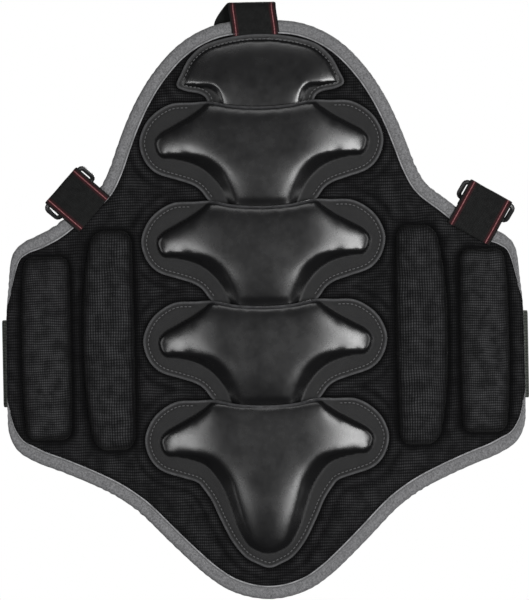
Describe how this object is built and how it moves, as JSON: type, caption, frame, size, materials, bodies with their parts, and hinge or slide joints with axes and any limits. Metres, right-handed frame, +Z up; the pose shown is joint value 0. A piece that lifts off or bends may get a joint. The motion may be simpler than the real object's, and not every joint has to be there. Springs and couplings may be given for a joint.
{
  "type": "back protector",
  "caption": "Body-armour back protector: edge-bound foam panel with overlapping moulded plates, side cushions, shoulder straps, side rings and waist belt.",
  "frame": {"origin": "on the rear lining, on the spine, at the height of the waist belt", "axes": "+X across the back, to the right when the plates are seen; +Z up the spine; +Y towards the wearer; the plates face -Y"},
  "size_m": [0.419, 0.03, 0.4766],
  "materials": {
    "mesh": "ribbed black mesh",
    "foam": "closed-cell foam",
    "lining": "air-mesh lining",
    "tape": "woven grey edge tape",
    "shell": "semi-gloss moulded plastic",
    "webbing": "woven webbing with thin red lines",
    "belt": "woven elastic",
    "plastic": "moulded acetal",
    "hook": "hook-and-loop tape"
  },
  "bodies": {
    "waist": {"lining_waist": "lining", "foam_core_waist": "foam", "cover_waist": "mesh", "binding_left_waist": "tape", "binding_right_waist": "tape", "plate_waist": "shell", "plate_insert_waist": "foam", "cushion_inner_left": "mesh", "cushion_inner_right": "mesh", "cushion_outer_left": "mesh", "cushion_outer_right": "mesh", "belt_anchor_left": "belt", "belt_anchor_right": "belt"},
    "chest": {"lining_chest": "lining", "foam_core_chest": "foam", "cover_chest": "mesh", "binding_left_chest": "tape", "binding_right_chest": "tape", "plate_chest": "shell", "plate_insert_chest": "foam", "tab_left": "webbing", "tab_right": "webbing", "strap_left_chest": "webbing", "strap_right_chest": "webbing"},
    "shoulder": {"lining_shoulder": "lining", "foam_core_shoulder": "foam", "cover_shoulder": "mesh", "binding_left_shoulder": "tape", "binding_right_shoulder": "tape", "plate_shoulder": "shell", "plate_insert_shoulder": "foam", "strap_left_shoulder": "webbing", "strap_right_shoulder": "webbing"},
    "neck": {"lining_neck": "lining", "foam_core_neck": "foam", "cover_neck": "mesh", "binding_neck": "tape", "plate_neck": "shell", "plate_insert_neck": "foam", "neck_loop": "webbing", "neck_patch": "webbing", "strap_left_neck": "webbing", "strap_right_neck": "webbing"},
    "tail": {"lining_tail": "lining", "foam_core_tail": "foam", "cover_tail": "mesh", "binding_tail": "tape", "plate_tail": "shell", "plate_insert_tail": "foam", "lumbar_pad": "lining"},
    "belt_left": {"belt_wing_left": "belt", "belt_hook_left": "hook"},
    "belt_right": {"belt_wing_right": "belt", "belt_pile_right": "hook"},
    "ring_left": {"ring_left": "plastic"},
    "ring_right": {"ring_right": "plastic"},
    "slider_left": {"slider_left": "plastic"},
    "slider_right": {"slider_right": "plastic"}
  },
  "joints": [
    {"name": "bend_waist_chest", "type": "hinge", "parent": "waist", "child": "chest", "pos_m": [0, 0, 0.042], "axis": [-1, 0, 0], "range_deg": [0, 12], "stiffness_Nm_per_rad": 3},
    {"name": "bend_chest_shoulder", "type": "hinge", "parent": "chest", "child": "shoulder", "pos_m": [0, 0, 0.121], "axis": [-1, 0, 0], "range_deg": [0, 12], "stiffness_Nm_per_rad": 2},
    {"name": "bend_shoulder_neck", "type": "hinge", "parent": "shoulder", "child": "neck", "pos_m": [0, 0, 0.2], "axis": [-1, 0, 0], "range_deg": [0, 12], "stiffness_Nm_per_rad": 1.2},
    {"name": "bend_waist_tail", "type": "hinge", "parent": "waist", "child": "tail", "pos_m": [0, 0, -0.037], "axis": [1, 0, 0], "range_deg": [0, 12], "stiffness_Nm_per_rad": 2},
    {"name": "belt_left_fold", "type": "hinge", "parent": "waist", "child": "belt_left", "pos_m": [-0.2095, 0.00335, 0], "axis": [0, 0, 1], "range_deg": [0, 180]},
    {"name": "belt_right_fold", "type": "hinge", "parent": "waist", "child": "belt_right", "pos_m": [0.2095, 0.00335, 0], "axis": [0, 0, -1], "range_deg": [0, 180]},
    {"name": "ring_left_swing", "type": "hinge", "parent": "chest", "child": "ring_left", "pos_m": [-0.15889, -0.006, 0.14017], "axis": [0.6665, 0, 0.7455], "range_deg": [0, 150]},
    {"name": "ring_right_swing", "type": "hinge", "parent": "chest", "child": "ring_right", "pos_m": [0.18175, -0.006, 0.12847], "axis": [0.866, 0, -0.5], "range_deg": [0, 150]},
    {"name": "slider_left_slide", "type": "slide", "parent": "shoulder", "child": "slider_left", "axis": [0, 0, 1], "range_m": [-0.024, 0.024]},
    {"name": "slider_right_slide", "type": "slide", "parent": "shoulder", "child": "slider_right", "axis": [0, 0, 1], "range_m": [-0.024, 0.024]}
  ]
}
